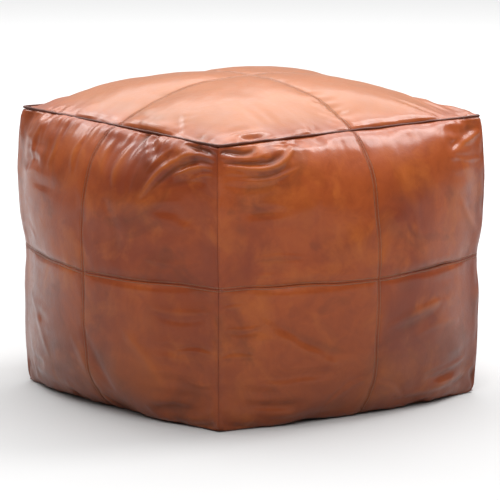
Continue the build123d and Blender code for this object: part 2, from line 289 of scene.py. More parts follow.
# Each crease is its height and half-width in mm, the side that its shadow lies on, or 0, and the points that
# it runs through: mm to the right of the side's middle, seen from outside, and mm above the floor.
CREASES = {
    "front": [
        (-3.4, 3.2, 0, [(-213, 353), (-196, 354), (-176, 351), (-156, 357)]),
        (2.0, 2.6, 0, [(-211, 347), (-188, 345), (-166, 344), (-148, 350)]),
        (-1.8, 3.0, 0, [(-208, 341), (-184, 340), (-150, 340), (-134, 349)]),
        (3.0, 3.6, 1, [(-207, 337), (-180, 333), (-148, 332), (-122, 343), (-104, 357)]),
        (-1.4, 3.5, 0, [(-186, 325), (-150, 324), (-122, 333)]),
        (1.4, 2.2, 1, [(-200, 321), (-160, 317), (-131, 323), (-108, 330)]),
        (-1.0, 4.0, 0, [(-206, 314), (-176, 308), (-140, 312)]),
        (1.0, 3.0, 0, [(-206, 329), (-192, 328), (-176, 322)]),
        (0.9, 2.6, -1, [(-172, 219), (-140, 221), (-108, 218)]),
        (0.7, 2.2, -1, [(-170, 197), (-144, 197)]),
        (0.5, 2.0, 1, [(-204, 158), (-180, 160)]),
        (0.9, 2.6, -1, [(-204, 131), (-180, 129), (-158, 132)]),
        (0.9, 2.6, 1, [(-206, 94), (-188, 96), (-166, 93)]),
        (-1.5, 8.0, 0, [(-168, 156), (-112, 116), (-75, 98), (-30, 85)]),
        (1.2, 7.0, 0, [(-150, 128), (-105, 98), (-55, 74)]),
        (1.5, 7.0, -1, [(14, 118), (64, 128), (116, 139)]),
        (0.9, 5.0, 0, [(60, 96), (110, 108), (160, 104)]),
        (1.7, 5.0, -1, [(44, 20), (115, 23), (182, 30)]),
        (1.1, 3.5, 1, [(90, 40), (135, 44), (178, 52)]),
        (1.6, 8.0, 0, [(-207, 34), (-186, 20), (-160, 11)]),
        (-1.4, 4.5, 0, [(-206, 13), (-186, 6), (-150, 4)]),
        (2.2, 5.0, 1, [(142, 325), (180, 335), (208, 343)]),
        (1.0, 3.0, 0, [(128, 321), (170, 312), (206, 309)]),
        (-1.4, 5.0, 0, [(150, 342), (180, 350), (208, 352)]),
        (-2.4, 7.0, 0, [(196, 34), (206, 20), (210, 6)]),
        (1.0, 4.0, 1, [(6, 44), (34, 34), (60, 12)]),
        (0.9, 4.0, -1, [(-8, 52), (-34, 44), (-66, 20)]),
        (0.8, 9.0, 0, [(30, 330), (60, 270), (66, 220)]),
        (-0.9, 10.0, 0, [(-60, 330), (-84, 280), (-78, 230)]),
        (0.8, 6.0, 0, [(150, 270), (176, 236), (200, 216)]),
    ],
    "left": [
        (3.4, 5.0, 1, [(186, 352), (156, 342), (128, 320), (106, 288)]),
        (1.6, 3.4, 1, [(140, 352), (122, 338), (108, 318)]),
        (-3.6, 3.2, 0, [(150, 358), (176, 356), (212, 350)]),
        (2.2, 2.6, 0, [(168, 346), (190, 348), (211, 344)]),
        (-1.8, 3.2, 0, [(160, 332), (184, 340), (208, 338)]),
        (2.6, 3.8, 0, [(150, 318), (180, 332), (208, 334)]),
        (1.3, 2.2, 1, [(176, 316), (192, 324), (208, 326)]),
        (-1.2, 5.0, 0, [(140, 300), (168, 314), (200, 314)]),
        (1.3, 6.0, -1, [(60, 350), (52, 322), (56, 296)]),
        (1.0, 5.0, 1, [(24, 352), (20, 330), (27, 308)]),
        (-1.0, 6.0, 0, [(92, 348), (84, 318), (86, 288)]),
        (1.1, 5.0, 1, [(-36, 350), (-42, 325), (-34, 300)]),
        (0.9, 5.0, -1, [(-92, 350), (-86, 326), (-94, 300)]),
        (1.2, 6.0, 1, [(-140, 350), (-150, 326), (-142, 296)]),
        (-2.0, 10.0, 0, [(-6, 110), (20, 68), (44, 30)]),
        (1.3, 9.0, 0, [(-30, 96), (0, 52), (16, 18)]),
        (-1.5, 4.5, 0, [(10, 22), (22, 8), (40, 3)]),
        (1.2, 8.0, 0, [(70, 120), (110, 84), (140, 40)]),
        (0.9, 5.0, -1, [(120, 150), (160, 146), (202, 152)]),
        (0.8, 3.5, 1, [(150, 96), (180, 100), (205, 97)]),
        (0.8, 3.0, -1, [(166, 62), (186, 58), (206, 60)]),
        (1.3, 7.0, 0, [(207, 32), (188, 18), (160, 10)]),
        (-1.3, 4.5, 0, [(206, 12), (186, 6), (160, 3)]),
        (-2.0, 7.0, 0, [(-192, 30), (-204, 16), (-209, 4)]),
        (1.2, 8.0, 0, [(-170, 130), (-130, 96), (-96, 50)]),
        (1.0, 5.0, 1, [(-205, 206), (-170, 212), (-136, 204)]),
        (0.7, 4.0, -1, [(110, 214), (150, 208), (196, 216)]),
        (-0.8, 9.0, 0, [(40, 280), (66, 240), (60, 200)]),
        (-0.8, 5.0, 0, [(-200, 350), (-180, 351), (-150, 346)]),
        (0.9, 7.0, 0, [(-196, 336), (-172, 334), (-146, 322)]),
    ],
}
# The sides that the eye sees less of crease as the mirror image of the side across from them.
MIRRORED = {"right": "front", "back": "left"}
# The height in mm of the pleats beside the top seam.
PLEATS = {"front": 0.22, "right": 0.45, "back": 0.4, "left": 0.65, "top": 0.1}
STROKE_STEPS = 25
SHADOW_DEPTH = 0.7      # of the crease's height
SHADOW_OFFSET = 1.8     # half-widths from the crease's line


def crease_relief(crease, a, z):
    """The height in mm that one crease adds at each place (a, z) of its side."""
    height, width, shadow, corners = crease
    knots = np.array(corners, float)
    path = spline_weights(len(knots), np.linspace(0, len(knots) - 1, STROKE_STEPS)) @ knots
    reach = 4 * width
    (a_low, z_low), (a_high, z_high) = path.min(axis=0) - reach, path.max(axis=0) + reach
    near = (a > a_low) & (a < a_high) & (z > z_low) & (z < z_high)
    relief = np.zeros_like(a)
    if not near.any():
        return relief
    start, step = path[:-1], np.diff(path, axis=0)
    place = np.stack([a[near], z[near]], axis=-1)[:, None, :]
    share = np.clip(((place - start) * step).sum(axis=-1) / (step**2).sum(axis=-1), 0, 1)
    gap = place - (start + share[..., None] * step)
    distance = np.linalg.norm(gap, axis=-1)
    nearest = distance.argmin(axis=1)
    rows = np.arange(len(nearest))
    gap, along = gap[rows, nearest], (nearest + share[rows, nearest]) / (STROKE_STEPS - 1)
    heading = step[nearest]
    hand = np.sign(heading[:, 0] * gap[:, 1] - heading[:, 1] * gap[:, 0])
    taper = np.sin(math.pi * np.clip(along, 0, 1)) ** 0.6
    q = hand * distance[rows, nearest] / (width * (0.45 + 0.55 * taper))
    dip = SHADOW_DEPTH * abs(shadow) * np.exp(-((q - SHADOW_OFFSET * shadow) ** 2))
    relief[near] = height * taper * (np.exp(-(q**2)) - dip)
    return relief


def side_creases(side, a, z):
    if side in MIRRORED:
        side, a = MIRRORED[side], -a
    return sum(crease_relief(crease, a, z) for crease in CREASES[side])


# ---- Panels ----

ROLL = 0.8              # mm: radius of the leather where it turns down into a seam
WELT_OFFSET = 1.3       # mm: from the top seam's line to the leather beside the welt
STITCH_OFFSET = 2.4     # mm: from a seam to its topstitching
STITCH_PITCH = 4.4      # mm
FINE = [0, 0.25, 0.55, 0.9, 1.3, 1.8, 2.4, 3.0, 3.6, 4.2, 4.8, 5.5, 6.4, 7.5, 9.0, 10.8]  # mm from a border
STITCH_STATION = FINE.index(STITCH_OFFSET)
COARSE_STEP = 2.1       # mm between stations further in
# How deep the leather dips beside each kind of seam, and how much it puckers, in mm.
SEAM_FORMS = {
    "stitched": (0.3, 0.2),
    "corner": (0.8, 0.35),
    "welt": (0.2, 0.2),
    "floor": (0.5, 0.5),
    "zip": (0.0, 0.1),
}


def stations(length, start, end):
    """Distances along a panel, in mm, close together near its borders."""
    near = [start + d for d in FINE]
    far = [length - end - d for d in reversed(FINE)]
    count = max(2, round((far[0] - near[-1]) / COARSE_STEP))
    middle = np.linspace(near[-1], far[0], count + 1)[1:-1]
    return np.concatenate([near, middle, far])


def spline_weights(count, t):
    """Weights that give a natural cubic spline through count points, at each t from 0 to count - 1."""
    system = np.eye(count)
    bend = np.zeros((count, count))
    for i in range(1, count - 1):
        system[i, i - 1 : i + 2] = [1, 4, 1]
        bend[i, i - 1 : i + 2] = [6, -12, 6]
    second = np.linalg.solve(system, bend)
    i = np.clip(t.astype(int), 0, count - 2)
    f = (t - i)[:, None]
    identity = np.eye(count)
    line = identity[i] * (1 - f) + identity[i + 1] * f
    curve = second[i] * ((1 - f) ** 3 - (1 - f)) + second[i + 1] * (f**3 - f)
    return line + curve / 6


def resampled(values, rows, columns):
    return np.einsum("ri,ijk,cj->rck", rows, values, columns)


def along_seam(s, wavelength, seed):
    """Smooth noise that varies only along a seam."""
    return ripples(np.stack([s * MM, 0 * s, 0 * s], axis=-1), wavelength, seed)


def seam_relief(e, s, kind, place, pleats, seed):
    """Height in mm at distance e from a seam and s along it, both in mm."""
    inside = np.clip(1 - e / ROLL, 0, 1)
    relief = -ROLL * (1 - np.sqrt(1 - inside**2))
    valley, pucker = SEAM_FORMS[kind]
    start = np.clip(e / 3, 0, 1)
    relief -= valley * np.exp(-((e / 6) ** 2))
    relief += pucker * ripples(place, 0.02, 7) * np.exp(-e / 11) * start
    relief += 0.35 * pucker * along_seam(s, 0.007, seed + 1) * np.exp(-e / 6) * start
    if kind == "welt":
        folds = along_seam(s, 0.014, seed)
        relief += pleats * (folds - 0.35 * folds**2) * np.exp(-e / 22) * start
        relief += 0.5 * np.exp(-(((e - 3.2) / 1.9) ** 2))
    if kind in ("stitched", "zip"):
        pull = 0.65 + 0.35 * np.cos(2 * math.pi * s / STITCH_PITCH)
        relief -= 0.5 * pull * np.exp(-(((e - STITCH_OFFSET) / 0.8) ** 2))
        relief += 0.2 * np.exp(-(((e - 0.5 * STITCH_OFFSET) / 0.6) ** 2))
    return relief


def stitch_rows(grid):
    """The values on a panel's grid that lie under the topstitching, in the order of its borders."""
    inset = STITCH_STATION
    return [grid[inset], grid[-1 - inset], grid[:, inset], grid[:, -1 - inset]]


class Panel:
    """One leather panel: its smooth surface, the relief on it and its distances from each border."""

    inner_depth = LEATHER + (ROLL + 2.4) * MM
    highest_relief = None

    def __init__(self, node, points, normals, size, borders, side):
        """borders are the kinds of the low row, high row, low column and high column."""
        self.node = node
        self.borders = borders
        count_rows, count_columns = points.shape[:2]
        starts = [WELT_OFFSET if kind == "welt" else 0 for kind in borders]
        self.v = stations(size[0], starts[0], starts[1])
        self.u = stations(size[1], starts[2], starts[3])
        row_weights = spline_weights(count_rows, self.v / size[0] * (count_rows - 1))
        column_weights = spline_weights(count_columns, self.u / size[1] * (count_columns - 1))
        self.smooth = resampled(points, row_weights, column_weights)
        lift = resampled(normals, row_weights, column_weights)
        self.lift = lift / np.linalg.norm(lift, axis=2, keepdims=True)
        u, v = np.meshgrid(self.u, self.v)
        self.edges = [
            (v - starts[0], u),
            (size[0] - starts[1] - v, u),
            (u - starts[2], v),
            (size[1] - starts[3] - u, v),
        ]
        self.creases = 0.45 * ripples(self.smooth, 0.085, 3) + 0.14 * ripples(self.smooth, 0.035, 4)
        if side in SIDES:
            outward = turned(self.smooth, -SIDES.index(side))
            drawn = side_creases(side, outward[..., 0] / MM, outward[..., 2] / MM)
            for (e, s), kind in zip(self.edges, borders):
                if kind in ("corner", "welt", "floor"):
                    drawn = drawn * np.clip(e / 5, 0, 1)
            self.creases = self.creases + drawn
        self.relief = self.creases.copy()
        pleats = PLEATS.get(side, 0)
        for number, ((e, s), kind) in enumerate(zip(self.edges, borders)):
            self.relief += seam_relief(e, s, kind, self.smooth, pleats, name_seed(node) + 10 * number)
        if self.highest_relief is not None:
            self.relief = np.minimum(self.relief, self.highest_relief)

    def outer(self):
        surface = self.smooth + self.lift * (self.relief * MM)[..., None]
        surface[..., 2] = np.maximum(surface[..., 2], 0.2 * MM)
        return surface

    def build(self, material):
        """A closed shell of leather, its outer face full of detail and its inner face plain."""
        outer = self.outer()
        inner = self.smooth - self.lift * self.inner_depth
        rows, columns = outer.shape[:2]
        count = rows * columns
        grid = np.arange(count).reshape(rows, columns)
        back = grid + count
        rim = []
        for front_edge, back_edge in (
            (grid[0], back[0]),
            (grid[-1][::-1], back[-1][::-1]),
            (grid[:, 0][::-1], back[:, 0][::-1]),
            (grid[:, -1], back[:, -1]),
        ):
            rim.append(np.stack([front_edge[1:], front_edge[:-1], back_edge[:-1], back_edge[1:]], axis=1))
        faces = np.vstack([quads(grid), quads(back, flip=True)] + rim)
        vertices = np.vstack([outer.reshape(-1, 3), inner.reshape(-1, 3)])
        piece = mesh_object("leather_" + self.node, vertices, faces)
        near_seam = np.min([e for e, _ in self.edges], axis=0)
        # Painted shade in the seams: how close each place is to a seam. The leather's colour is darkened
        # towards red-brown there.
        paint(piece, "seam_shade", np.exp(-np.clip(near_seam, 0, None) / 2.2))
        # The relief. The leather's colour turns it into painted highlight on ridges and painted shade in
        # creases and seams.
        paint(piece, "crease_shading", np.clip(0.5 + self.relief / 6, 0, 1))
        tone = np.random.default_rng(name_seed(self.node)).uniform(0, 1)
        paint(piece, "tone", np.full(near_seam.shape, tone))
        piece.data.materials.append(material)
        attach(piece, POUF)
        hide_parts(self.node)
        return piece

    def stitch_lines(self):
        """The line of topstitching beside each stitched border, and the way out of the leather there."""
        beside = zip(stitch_rows(self.outer()), stitch_rows(self.lift), self.borders)
        return [(line, lift) for line, lift, kind in beside if kind in ("stitched", "zip")]


class BasePanel(Panel):
    """Half of the base, flat on the floor: its relief only goes inwards."""

    inner_depth = LEATHER + 0.6 * MM
    highest_relief = 0.0


def name_seed(name):
    return sum(index * ord(letter) for index, letter in enumerate(name, 1)) % 9973


def paint(piece, name, values):
    """A value for each outer vertex, and the same again for the inner ones."""
    attribute = piece.data.attributes.new(name, "FLOAT", "POINT")
    attribute.data.foreach_set("value", np.concatenate([values.ravel()] * 2).astype(np.float32))


def side_panels(ring, points, normals):
    across = 2 * HALF_CELLS
    closed = np.column_stack([ring, ring[:, 0]])
    panels = []
    for turn, side in enumerate(SIDES):
        for upper in (True, False):
            rows = slice(ROW_CELLS, None) if upper else slice(0, ROW_CELLS + 1)
            for column, hand in enumerate(("left", "right")):
                first = turn * across + column * HALF_CELLS
                block = closed[rows, first : first + HALF_CELLS + 1]
                ends = ("corner", "stitched") if column == 0 else ("stitched", "corner")
                borders = (("stitched", "welt") if upper else ("floor", "stitched")) + ends
                node = f"{side}_panel_{'upper' if upper else 'lower'}_{hand}"
                panels.append(Panel(node, points[block], normals[block], (190.0, 215.0), borders, side))
    return panels


def top_panels(top, points, normals):
    panels = []
    for row, depth in enumerate(("front", "back")):
        for column, hand in enumerate(("left", "right")):
            rows = slice(row * HALF_CELLS, (row + 1) * HALF_CELLS + 1)
            columns = slice(column * HALF_CELLS, (column + 1) * HALF_CELLS + 1)
            block = top[rows, columns]
            borders = (("welt", "stitched") if row == 0 else ("stitched", "welt"))
            borders += (("welt", "stitched") if column == 0 else ("stitched", "welt"))
            node = f"top_panel_{depth}_{hand}"
            panels.append(Panel(node, points[block], normals[block], (213.0, 213.0), borders, "top"))
    return panels


# ---- Base ----

tape_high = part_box("zip_tape_front")[1]
VALLEY_DEPTH = 7.0 * MM     # how far the base is drawn up along the zip
VALLEY_HALF_WIDTH = 30 * MM
VALLEY_OPENING = 5.0 * MM
VALLEY_STRAIGHT = tape_high.x - 4 * MM
VALLEY_END = VALLEY_STRAIGHT + 40 * MM


def fade(t):
    """A smooth fall from 1 at 0 to 0 at 1, level at both ends."""
    t = np.clip(t, 0, 1)
    return (1 - t) ** 4 + 4 * t * (1 - t) ** 3 + 3 * t**2 * (1 - t) ** 2


def valley_height(x, y, depth, half_width, opening=0.0):
    """How far the base stands above the floor, over the zip and beside it."""
    across = fade((np.abs(y) - opening) / (half_width - opening))
    return depth * across * fade((np.abs(x) - VALLEY_STRAIGHT) / (VALLEY_END - VALLEY_STRAIGHT))


def base_panels():
    """The two halves of the base, either side of the zip, each from its floor seam in to the zip."""
    side_middle = BASE_HALF + FLOOR_BULGE
    u = np.linspace(1, -1, 2 * HALF_CELLS + 1)
    past_zip = (np.abs(u) * side_middle - VALLEY_STRAIGHT) / (VALLEY_END - VALLEY_STRAIGHT)
    opening = VALLEY_OPENING * fade(past_zip)
    u, share = np.meshgrid(u, np.linspace(0, 1, HALF_CELLS + 1))
    v = -1 + share * (1 - opening / side_middle)
    x = u * (BASE_HALF + FLOOR_BULGE * (1 - v**2))
    y = v * (BASE_HALF + FLOOR_BULGE * (1 - u**2))
    z = valley_height(x, y, VALLEY_DEPTH, VALLEY_HALF_WIDTH, VALLEY_OPENING)
    points = np.stack([x, y, z], axis=-1)
    down = np.zeros_like(points)
    down[..., 2] = -1
    size = (side_middle / MM, 2 * side_middle / MM)
    borders = ("floor", "zip", "floor", "floor")
    return [
        BasePanel("base_panel_front", points, down, size, borders, "base"),
        BasePanel("base_panel_back", turned(points, 2), down, size, borders, "base"),
    ]


# ---- Stitching and welt ----


def tube(path, radius, sides, closed=False):
    """Vertices and faces of a round tube along a path, with one radius or a radius for each point."""
    path = np.asarray(path, float)
    count = len(path)
    ahead = np.roll(path, -1, axis=0) - np.roll(path, 1, axis=0)
    if not closed:
        ahead[0], ahead[-1] = path[1] - path[0], path[-1] - path[-2]
    ahead /= np.linalg.norm(ahead, axis=1, keepdims=True)
    across = np.cross(ahead, np.where(np.abs(ahead[:, 2:]) > 0.9, (1.0, 0, 0), (0, 0, 1.0)))
    across /= np.linalg.norm(across, axis=1, keepdims=True)
    upward = np.cross(across, ahead)
    angle = np.linspace(0, 2 * math.pi, sides, endpoint=False)
    circle = np.cos(angle)[None, :, None] * across[:, None] + np.sin(angle)[None, :, None] * upward[:, None]
    radius = np.broadcast_to(radius, count)[:, None, None]
    vertices = (path[:, None] + circle * radius).reshape(-1, 3)
    grid = np.arange(count * sides).reshape(count, sides)
    wrapped = np.column_stack([grid, grid[:, 0]])
    if closed:
        wrapped = np.vstack([wrapped, wrapped[:1]])
    return vertices, quads(wrapped, flip=True)


def evenly(path, pitch):
    """Points at even spacing, close to pitch, along a path."""
    lengths = np.concatenate([[0], np.cumsum(np.linalg.norm(np.diff(path, axis=0), axis=1))])
    count = max(2, round(lengths[-1] / pitch))
    at = np.linspace(0, lengths[-1], count + 1)
    return np.stack([np.interp(at, lengths, path[:, k]) for k in range(path.shape[1])], axis=1)


STITCH_SHARE = 0.74     # of the pitch that shows thread
THREAD_RADIUS = 0.42 * MM
STITCH_SIDES = 8
# Places along a stitch, each with its share of the radius and its rise in radii.
STITCH_SHAPE = [
    (-1.0, 0.35, -0.5),
    (-0.86, 0.85, -0.1),
    (-0.45, 1.0, 0.25),
    (0.45, 1.0, 0.25),
    (0.86, 0.85, -0.1),
    (1.0, 0.35, -0.5),
]
WELT_FULLNESS = 1.15    # the welt's radius, as a share of the CAD one


def stitching(name, panels, material):
    """Every topstitch on some panels, as one piece of short rounded threads."""
    vertices, faces, total = [], [], 0
    rng = np.random.default_rng(name_seed(name))
    place, width, rise = np.array(STITCH_SHAPE).T
    ring_ends = np.arange(STITCH_SIDES)
    for panel in panels:
        for line, lift in panel.stitch_lines():
            spaced = evenly(np.hstack([line, lift]), STITCH_PITCH * MM)
            middles = (spaced[1:] + spaced[:-1]) / 2
            steps = spaced[1:, :3] - spaced[:-1, :3]
            for middle, step in zip(middles, steps):
                half = step * STITCH_SHARE / 2
                up = middle[3:] / np.linalg.norm(middle[3:])
                skew = np.cross(up, step) * rng.uniform(-0.06, 0.06)
                path = middle[:3] + place[:, None] * (half + skew) + (rise * THREAD_RADIUS)[:, None] * up
                ring_vertices, ring_faces = tube(path, THREAD_RADIUS * width, STITCH_SIDES)
                vertices.append(ring_vertices)
                faces.append(ring_faces + total)
                last = len(ring_vertices) - STITCH_SIDES
                for caps in (ring_ends, last + ring_ends[::-1]):
                    ring = caps + total
                    for k in range(1, STITCH_SIDES - 2, 2):
                        faces.append(np.array([[ring[0], ring[k], ring[k + 1], ring[k + 2]]]))
                total += len(ring_vertices)
    piece = mesh_object(name, np.vstack(vertices), np.vstack(faces))
    piece.data.materials.append(material)
    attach(piece, POUF)
    return piece


def welt(ring, points, material):
    """The leather cord sewn into the top seam, a little uneven along its length."""
    path = points[np.append(ring[-1], ring[-1, 0])]
    path = evenly(path, 2 * MM)[:-1]
    for _ in range(2):
        path = (np.roll(path, 1, axis=0) + 2 * path + np.roll(path, -1, axis=0)) / 4
    radius = WELT_RADIUS * (WELT_FULLNESS + 0.07 * ripples(path, 0.012, 21))
    path = path + 0.2 * MM * np.stack([ripples(path, 0.03, 30 + k) for k in range(3)], axis=1)
    vertices, faces = tube(path, radius, 14, closed=True)
    piece = mesh_object("welt_cord", vertices, faces)
    piece.data.materials.append(material)
    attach(piece, POUF)
    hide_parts("top_welt")
    return piece


# ---- Liner and stuffing ----


LINER = 0.7 * MM
LINER_DEPTH = 9 * MM        # from the cover's smooth surface in to the liner
STUFFING_DEPTH = 11 * MM
INNER_FLOOR = 4 * MM        # the liner's base above the floor
INNER_VALLEY = 14 * MM      # how far the liner is drawn up over the zip
INNER_VALLEY_WIDTH = 46 * MM


def drawn_in(points, normals, depth):
    """The cover's shape at a depth below its surface, drawn up over the zip."""
    x, y, z = (points - normals * depth).T
    x, y = (np.clip(q, -TOP_HALF - SIDE_BULGE, TOP_HALF + SIDE_BULGE) for q in (x, y))
    floor = INNER_FLOOR + (depth - LINER_DEPTH) + valley_height(x, y, INNER_VALLEY, INNER_VALLEY_WIDTH)
    return np.stack([x, y, np.maximum(z, floor)], axis=1)


def inner_piece(name, layers, faces, nodes, material):
    """A closed soft piece, or a hollow one if it has two layers, outer first."""
    sheets = [faces] + [layer[:, ::-1] + len(layers[0]) for layer in [faces] * (len(layers) - 1)]
    piece = mesh_object(name, np.vstack(layers), np.vstack(sheets))
    piece.data.materials.append(material)
    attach(piece, POUF)
    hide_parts(*nodes)
    return piece


# ---- Materials ----


def principled(name, colour, roughness, **inputs):
    material = bpy.data.materials.new(name)
    material.use_nodes = True
    shader = material.node_tree.nodes["Principled BSDF"]
    shader.inputs["Base Color"].default_value = (*colour, 1)
    shader.inputs["Roughness"].default_value = roughness
    for key, value in inputs.items():
        shader.inputs[key.replace("_", " ")].default_value = value
    return material, shader


class Nodes:
    """A short way to write shader nodes."""

    def __init__(self, material):
        self.tree = material.node_tree

    def add(self, kind, links=None, **settings):
        node = self.tree.nodes.new(kind)
        for key, value in settings.items():
            if hasattr(node, key):
                setattr(node, key, value)
            else:
                node.inputs[key.replace("_", " ")].default_value = value
        for key, source in (links or {}).items():
            self.tree.links.new(source, node.inputs[key])
        return node

    def noise(self, vector, scale, detail=3.0, roughness=0.55, distortion=0.0):
        links = {"Vector": vector}
        settings = dict(Scale=scale, Detail=detail, Roughness=roughness, Distortion=distortion)
        return self.add("ShaderNodeTexNoise", links, **settings).outputs["Fac"]

    def ramp(self, factor, *stops):
        """A colour ramp through (position, colour or grey) stops."""
        node = self.add("ShaderNodeValToRGB", {"Fac": factor})
        elements = node.color_ramp.elements
        while len(elements) < len(stops):
            elements.new(0.5)
        for element, (position, colour) in zip(elements, stops):
            element.position = position
            element.color = (*colour, 1) if isinstance(colour, tuple) else (colour, colour, colour, 1)
        return node.outputs["Color"]

    def mix(self, factor, a, b, blend_type="MIX"):
        node = self.add("ShaderNodeMix", data_type="RGBA", blend_type=blend_type)
        for socket, value in ((node.inputs[0], factor), (node.inputs[6], a), (node.inputs[7], b)):
            if isinstance(value, (int, float)):
                socket.default_value = value
            elif isinstance(value, tuple):
                socket.default_value = (*value, 1)
            else:
                self.tree.links.new(value, socket)
        return node.outputs[2]

    def maths(self, operation, a, b=0.0):
        node = self.add("ShaderNodeMath", operation=operation)
        for socket, value in ((node.inputs[0], a), (node.inputs[1], b)):
            if isinstance(value, (int, float)):
                socket.default_value = value
            else:
                self.tree.links.new(value, socket)
        return node.outputs[0]


COGNAC = (0.29, 0.056, 0.009)
OCHRE = (0.39, 0.098, 0.014)
RED_BROWN = (0.17, 0.026, 0.006)
DARK_BROWN = (0.080, 0.019, 0.006)
# The welt's darkest colour: partly the welt's own dark leather, partly painted shade of the deep top seam.
WELT_SHADE = (0.03, 0.008, 0.004)
# The pale colour that the crowned top is painted towards: a painted sheen.
TOP_SHEEN_TINT = (0.37, 0.125, 0.026)
TOP_SHEEN_AMOUNT = 0.55   # how far the crowned top is painted paler, a painted sheen of light on the top
FLOOR_SHADE = 0.42    # how far the leather is painted darker towards the floor: painted shade on the lower sides, where less light reaches


def leather_material(name, base, light, red, dark, roughness, coat):
    material, shader = principled(
        name, base, roughness, Specular_IOR_Level=0.16, Coat_Weight=coat, Coat_Roughness=0.20)
    n = Nodes(material)
    place = n.add("ShaderNodeTexCoord").outputs["Object"]
    tone = n.add("ShaderNodeAttribute", attribute_name="tone").outputs["Fac"]
    crease_shading = n.add("ShaderNodeAttribute", attribute_name="crease_shading").outputs["Fac"]
    seam_shade = n.add("ShaderNodeAttribute", attribute_name="seam_shade").outputs["Fac"]
    patches = n.noise(place, 6.5, 4, 0.55, 0.8)
    clouds = n.noise(place, 15.0, 5, 0.6, 0.5)
    streaks = n.noise(place, 42.0, 5, 0.65, 1.0)
    shifted = n.maths("ADD", patches, n.maths("MULTIPLY", n.maths("SUBTRACT", tone, 0.5), 0.12))
    colour = n.mix(n.ramp(shifted, (0.42, 0.0), (0.66, 0.9)), base, red)
    colour = n.mix(n.ramp(clouds, (0.50, 0.0), (0.74, 0.75)), colour, light)
    colour = n.mix(n.ramp(n.noise(place, 9.0, 4, 0.6, 1.5), (0.55, 0.0), (0.78, 0.7)), colour, dark)
    colour = n.mix(n.ramp(streaks, (0.35, 0.35), (0.6, 0.0)), colour, red)
    # Painted highlight on the ridges of creases, and painted shade in creases and seam valleys, both from
    # their relief.
    colour = n.mix(n.ramp(crease_shading, (0.55, 0.0), (0.9, 0.5)), colour, light)
    colour = n.mix(n.ramp(crease_shading, (0.05, 0.6), (0.38, 0.0)), colour, dark)
    # Painted shade: the leather is darkened towards red-brown close to its seams.
    colour = n.mix(n.ramp(seam_shade, (0.3, 0.0), (1.0, 0.5)), colour, red)
    height = n.add("ShaderNodeSeparateXYZ", {"Vector": place}).outputs["Z"]
    # Painted shade: the leather is darker towards the floor.
    colour = n.mix(n.ramp(height, (0.02, FLOOR_SHADE), (0.21, 0.0)), colour, dark)
    # Painted sheen: the crowned top is painted paler the higher it rises above the top seam.
    above_seam = n.maths("DIVIDE", n.maths("SUBTRACT", height, SEAM_Z), CROWN)
    colour = n.mix(n.ramp(above_seam, (0.03, 0.0), (0.5, TOP_SHEEN_AMOUNT)), colour, TOP_SHEEN_TINT)
    n.tree.links.new(colour, shader.inputs["Base Color"])
    rough = n.ramp(streaks, (0.3, roughness - 0.05), (0.7, roughness + 0.09))
    n.tree.links.new(rough, shader.inputs["Roughness"])
    cells = n.add("ShaderNodeTexVoronoi", {"Vector": place}, feature="SMOOTH_F1", Scale=460.0)
    pores = cells.outputs["Distance"]
    wrinkles = n.noise(place, 110.0, 6, 0.65, 1.4)
    grain = n.maths("ADD", n.maths("MULTIPLY", pores, 0.3), wrinkles)
    bump = n.add("ShaderNodeBump", {"Height": grain}, Strength=0.16, Distance=0.0015)
    n.tree.links.new(bump.outputs["Normal"], shader.inputs["Normal"])
    return material


BANDS = 3.14    # about how many bands a wave texture has in a metre at a scale of 1


def woven_material(name, light, dark, threads_per_metre, roughness, rise):
    """Plain weave: two sets of threads that take turns to lie on top."""
    material, shader = principled(name, light, roughness, Sheen_Weight=0.25, Specular_IOR_Level=0.3)
    n = Nodes(material)
    place = n.add("ShaderNodeTexCoord").outputs["Object"]
    waves = []
    for direction in ("X", "Y", "Z"):
        weave = dict(bands_direction=direction, Scale=threads_per_metre / BANDS, Distortion=0.6, Detail=2.0)
        wave = n.add("ShaderNodeTexWave", {"Vector": place}, **weave)
        waves.append(wave.outputs["Fac"])
    cloth = n.maths("ADD", n.maths("MULTIPLY", waves[0], waves[1]), n.maths("MULTIPLY", waves[2], 0.5))
    slub = n.noise(place, 90.0, 4, 0.6)
    colour = n.mix(n.ramp(n.maths("MULTIPLY", cloth, slub), (0.1, 0.0), (0.6, 1.0)), dark, light)
    n.tree.links.new(colour, shader.inputs["Base Color"])
    bump = n.add("ShaderNodeBump", {"Height": cloth}, Strength=0.5, Distance=rise)
    n.tree.links.new(bump.outputs["Normal"], shader.inputs["Normal"])
    return material


def thread_material():
    material, shader = principled("waxed_thread", (0.20, 0.075, 0.028), 0.55, Sheen_Weight=0.2)
    n = Nodes(material)
    place = n.add("ShaderNodeTexCoord").outputs["Object"]
    plies = dict(bands_direction="DIAGONAL", Scale=900.0, Distortion=1.0)
    twist = n.add("ShaderNodeTexWave", {"Vector": place}, **plies)
    colour = n.mix(twist.outputs["Fac"], (0.12, 0.040, 0.014), (0.26, 0.105, 0.040))
    n.tree.links.new(colour, shader.inputs["Base Color"])
    bump = n.add("ShaderNodeBump", {"Height": twist.outputs["Fac"]}, Strength=0.5, Distance=0.0002)
    n.tree.links.new(bump.outputs["Normal"], shader.inputs["Normal"])
    return material


def fibre_material():
    material, shader = principled("recycled_fibre", (0.45, 0.43, 0.38), 0.95, Sheen_Weight=0.4)
    n = Nodes(material)
    place = n.add("ShaderNodeTexCoord").outputs["Object"]
    tufts = n.noise(place, 70.0, 8, 0.75, 2.0)
    colour = n.mix(tufts, (0.25, 0.25, 0.27), (0.66, 0.62, 0.52))
    n.tree.links.new(colour, shader.inputs["Base Color"])
    bump = n.add("ShaderNodeBump", {"Height": tufts}, Strength=1.0, Distance=0.004)
    n.tree.links.new(bump.outputs["Normal"], shader.inputs["Normal"])
    return material


